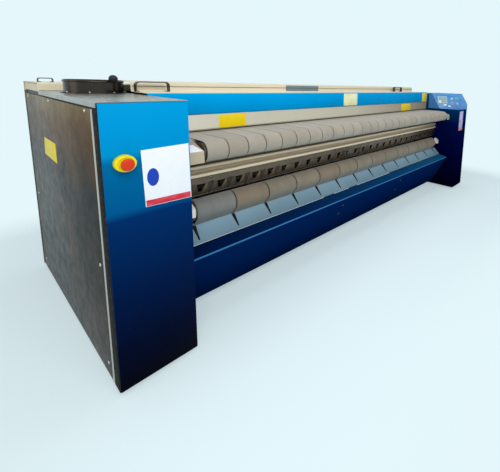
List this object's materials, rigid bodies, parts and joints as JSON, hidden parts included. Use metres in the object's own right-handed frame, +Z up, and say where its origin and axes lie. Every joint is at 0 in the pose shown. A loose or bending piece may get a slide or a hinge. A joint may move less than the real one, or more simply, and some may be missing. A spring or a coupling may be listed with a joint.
{
  "type": "flatwork ironer",
  "caption": "Industrial flatwork ironer: a long heated cylinder between two end cabinets, front feed belts and a front return chute.",
  "frame": {"origin": "on the floor under the middle of the machine's overall box", "axes": "+X along the cylinder to the operator's right, -Y towards the operator at the feed side, +Z up"},
  "size_m": [4.6, 1.7574, 1.513],
  "materials": {
    "blue_paint": "high-gloss azure enamel",
    "light_blue_paint": "satin light blue enamel",
    "brushed_sheet": "brushed, slightly warm stainless sheet",
    "polished_steel": "ground and polished steel",
    "turned_steel": "turned steel",
    "cream_paint": "satin cream enamel",
    "black_paint": "satin black enamel",
    "pale_steel": "pale blue-grey satin enamel",
    "grey_paint": "matt machine grey",
    "cast_grey": "painted casting",
    "dark_steel": "oiled dark steel",
    "feed_belt": "woven feed belt",
    "ironing_band": "woven heat-proof band",
    "foot_black": "moulded pad",
    "yellow_plastic": "gloss",
    "red_plastic": "gloss",
    "black_plastic": "matt",
    "button_cream": "gloss",
    "button_teal": "gloss",
    "button_rose": "gloss",
    "button_sky": "gloss"
  },
  "bodies": {
    "machine": {"left_end_plate": "blue_paint", "right_end_plate": "blue_paint", "left_front_panel": "blue_paint", "left_cabinet_frame": "black_paint", "left_side_panel": "brushed_sheet", "left_top_cover": "brushed_sheet", "left_rear_cover": "blue_paint", "right_front_panel": "blue_paint", "right_cabinet_frame": "black_paint", "right_side_panel": "brushed_sheet", "right_top_cover": "brushed_sheet", "right_rear_cover": "blue_paint", "left_front_foot": "foot_black", "left_rear_foot": "foot_black", "right_front_foot": "foot_black", "right_rear_foot": "foot_black", "front_cross_beam": "grey_paint", "rear_cross_beam": "grey_paint", "kick_panel": "blue_paint", "slide_plate": "pale_steel", "nip_guard_bar": "brushed_sheet", "belt_guide_strip": "brushed_sheet", "fascia": "blue_paint", "rear_top_cover": "cream_paint", "rear_cover": "blue_paint", "rear_handle": "grey_paint", "feed_bed": "feed_belt", "ironing_bands": "ironing_band", "stripper_bar": "turned_steel", "left_feed_end_cover": "cream_paint", "right_feed_end_cover": "cream_paint", "exhaust_collar": "dark_steel", "fan_housing": "grey_paint", "fan_motor": "cast_grey", "drive_chain": "dark_steel", "gearmotor": "cast_grey", "rotary_joint": "cast_grey", "console_housing": "light_blue_paint", "estop_base": "yellow_plastic"},
    "drum": {"heated_cylinder": "polished_steel", "drum_sprocket": "dark_steel"},
    "drive_pinion": {"motor_sprocket": "dark_steel"},
    "nose_roller": {"nose_roller": "turned_steel"},
    "feed_rear_roller": {"feed_rear_roller": "turned_steel"},
    "entry_roller": {"entry_roller": "turned_steel"},
    "upper_rear_roller": {"upper_rear_roller": "turned_steel"},
    "lower_rear_roller": {"lower_rear_roller": "turned_steel"},
    "lower_front_roller": {"lower_front_roller": "turned_steel"},
    "exit_roller": {"exit_roller": "turned_steel"},
    "fan_wheel": {"fan_wheel": "brushed_sheet"},
    "finger_guard": {"finger_guard": "cream_paint"},
    "hood": {"hood": "cream_paint", "hood_handle_left": "grey_paint", "hood_handle_right": "grey_paint"},
    "button_yellow": {"button_yellow": "button_cream"},
    "button_green": {"button_green": "button_teal"},
    "button_red": {"button_red": "button_rose"},
    "button_blue": {"button_blue": "button_sky"},
    "estop_plunger": {"estop_stem": "black_plastic"},
    "estop_head": {"estop_mushroom": "red_plastic"}
  },
  "joints": [
    {"name": "drum_spin", "type": "hinge", "parent": "machine", "child": "drum", "pos_m": [0.0135, 0.1787, 0.76], "axis": [1, 0, 0], "continuous": true},
    {"name": "pinion_spin", "type": "hinge", "parent": "machine", "child": "drive_pinion", "pos_m": [-1.992, 0.1787, 0.236], "axis": [1, 0, 0], "continuous": true},
    {"name": "nose_spin", "type": "hinge", "parent": "machine", "child": "nose_roller", "pos_m": [0.0135, -0.6313, 1.085], "axis": [1, 0, 0], "continuous": true},
    {"name": "feed_rear_spin", "type": "hinge", "parent": "machine", "child": "feed_rear_roller", "pos_m": [0.0135, -0.10449, 1.1065], "axis": [1, 0, 0], "continuous": true},
    {"name": "entry_spin", "type": "hinge", "parent": "machine", "child": "entry_roller", "pos_m": [0.0135, 0.00732, 1.18419], "axis": [1, 0, 0], "continuous": true},
    {"name": "upper_rear_spin", "type": "hinge", "parent": "machine", "child": "upper_rear_roller", "pos_m": [0.0135, 0.56619, 1.14749], "axis": [1, 0, 0], "continuous": true},
    {"name": "lower_rear_spin", "type": "hinge", "parent": "machine", "child": "lower_rear_roller", "pos_m": [0.0135, 0.56619, 0.3725], "axis": [1, 0, 0], "continuous": true},
    {"name": "lower_front_spin", "type": "hinge", "parent": "machine", "child": "lower_front_roller", "pos_m": [0.0135, -0.2088, 0.3725], "axis": [1, 0, 0], "continuous": true},
    {"name": "exit_spin", "type": "hinge", "parent": "machine", "child": "exit_roller", "pos_m": [0.0135, -0.4763, 0.673], "axis": [1, 0, 0], "continuous": true},
    {"name": "fan_spin", "type": "hinge", "parent": "machine", "child": "fan_wheel", "pos_m": [-2.16, -0.0133, 1.18], "axis": [1, 0, 0], "continuous": true},
    {"name": "finger_guard_swing", "type": "hinge", "parent": "machine", "child": "finger_guard", "pos_m": [0.0135, -0.3138, 1.265], "axis": [1, 0, 0], "range_deg": [0, 12], "stiffness_Nm_per_rad": 6, "springref_deg": -8.59},
    {"name": "hood_lift", "type": "hinge", "parent": "machine", "child": "hood", "pos_m": [0.0135, 0.3567, 1.476], "axis": [-1, 0, 0], "range_deg": [0, 70]},
    {"name": "yellow_button_press", "type": "slide", "parent": "machine", "child": "button_yellow", "axis": [0.6315, 0.6592, -0.4083], "range_m": [0, 0.003], "stiffness_N_per_m": 300, "springref_m": -0.002},
    {"name": "green_button_press", "type": "slide", "parent": "machine", "child": "button_green", "axis": [0.6315, 0.6592, -0.4083], "range_m": [0, 0.003], "stiffness_N_per_m": 300, "springref_m": -0.002},
    {"name": "red_button_press", "type": "slide", "parent": "machine", "child": "button_red", "axis": [0.6315, 0.6592, -0.4083], "range_m": [0, 0.003], "stiffness_N_per_m": 300, "springref_m": -0.002},
    {"name": "blue_button_press", "type": "slide", "parent": "machine", "child": "button_blue", "axis": [0.6315, 0.6592, -0.4083], "range_m": [0, 0.003], "stiffness_N_per_m": 300, "springref_m": -0.002},
    {"name": "estop_press", "type": "slide", "parent": "machine", "child": "estop_plunger", "axis": [0, 1, 0], "range_m": [0, 0.006]},
    {"name": "estop_twist", "type": "hinge", "parent": "estop_plunger", "child": "estop_head", "pos_m": [-2.216, -0.8663, 1.132], "axis": [0, 1, 0], "range_deg": [0, 30]}
  ],
  "couplings": [
    {"joint": "pinion_spin", "follows": "drum_spin", "ratio": 2.6667},
    {"joint": "nose_spin", "follows": "drum_spin", "ratio": 7.0796},
    {"joint": "feed_rear_spin", "follows": "drum_spin", "ratio": 11.429},
    {"joint": "entry_spin", "follows": "drum_spin", "ratio": -8},
    {"joint": "upper_rear_spin", "follows": "drum_spin", "ratio": -8},
    {"joint": "lower_rear_spin", "follows": "drum_spin", "ratio": -8},
    {"joint": "lower_front_spin", "follows": "drum_spin", "ratio": -8},
    {"joint": "exit_spin", "follows": "drum_spin", "ratio": -6.4516}
  ]
}
